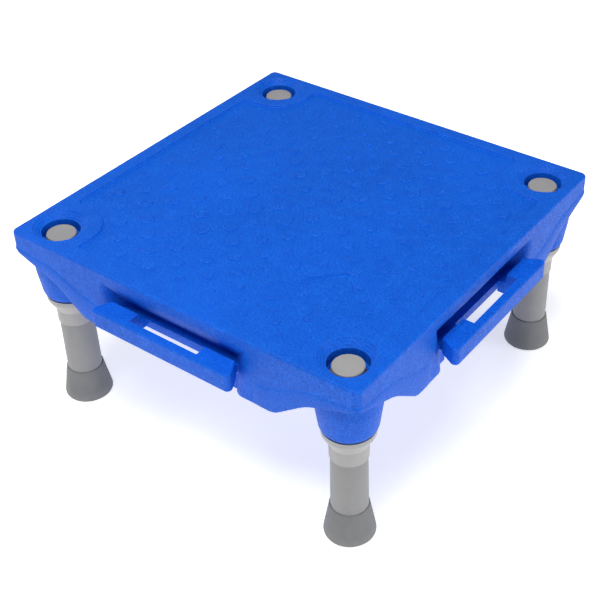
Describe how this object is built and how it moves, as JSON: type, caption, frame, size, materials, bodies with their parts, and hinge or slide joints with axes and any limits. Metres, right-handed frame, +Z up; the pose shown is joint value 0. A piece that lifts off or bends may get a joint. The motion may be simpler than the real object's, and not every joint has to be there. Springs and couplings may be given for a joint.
{
  "type": "raised platform",
  "caption": "Low square moulded platform with a bumped, rimmed top, skirts with side hand-holds, and push-in corner legs on flared rubber feet.",
  "frame": {"origin": "on the floor under the middle of the deck", "axes": "+Z up; X and Y along the deck's sides, with the plain diamond near the +X -Y corner"},
  "size_m": [0.67, 0.67, 0.312],
  "materials": {
    "deck_plastic": "saturated blue moulded plastic with a fine grain",
    "leg_plastic": "mid grey moulded plastic",
    "collar_plastic": "light grey moulded plastic",
    "cap_plastic": "light warm grey moulded plastic",
    "foot_rubber": "dark grey matte rubber"
  },
  "bodies": {
    "platform": {"deck": "deck_plastic"},
    "leg_front_left": {"leg_tube_front_left": "leg_plastic", "leg_collar_front_left": "collar_plastic", "leg_cap_front_left": "cap_plastic", "rubber_foot_front_left": "foot_rubber"},
    "leg_front_right": {"leg_tube_front_right": "leg_plastic", "leg_collar_front_right": "collar_plastic", "leg_cap_front_right": "cap_plastic", "rubber_foot_front_right": "foot_rubber"},
    "leg_rear_left": {"leg_tube_rear_left": "leg_plastic", "leg_collar_rear_left": "collar_plastic", "leg_cap_rear_left": "cap_plastic", "rubber_foot_rear_left": "foot_rubber"},
    "leg_rear_right": {"leg_tube_rear_right": "leg_plastic", "leg_collar_rear_right": "collar_plastic", "leg_cap_rear_right": "cap_plastic", "rubber_foot_rear_right": "foot_rubber"}
  },
  "joints": [
    {"name": "leg_pull_front_left", "type": "slide", "parent": "platform", "child": "leg_front_left", "axis": [0, 0, -1], "range_m": [0, 0.09]},
    {"name": "leg_pull_front_right", "type": "slide", "parent": "platform", "child": "leg_front_right", "axis": [0, 0, -1], "range_m": [0, 0.09]},
    {"name": "leg_pull_rear_left", "type": "slide", "parent": "platform", "child": "leg_rear_left", "axis": [0, 0, -1], "range_m": [0, 0.09]},
    {"name": "leg_pull_rear_right", "type": "slide", "parent": "platform", "child": "leg_rear_right", "axis": [0, 0, -1], "range_m": [0, 0.09]}
  ]
}
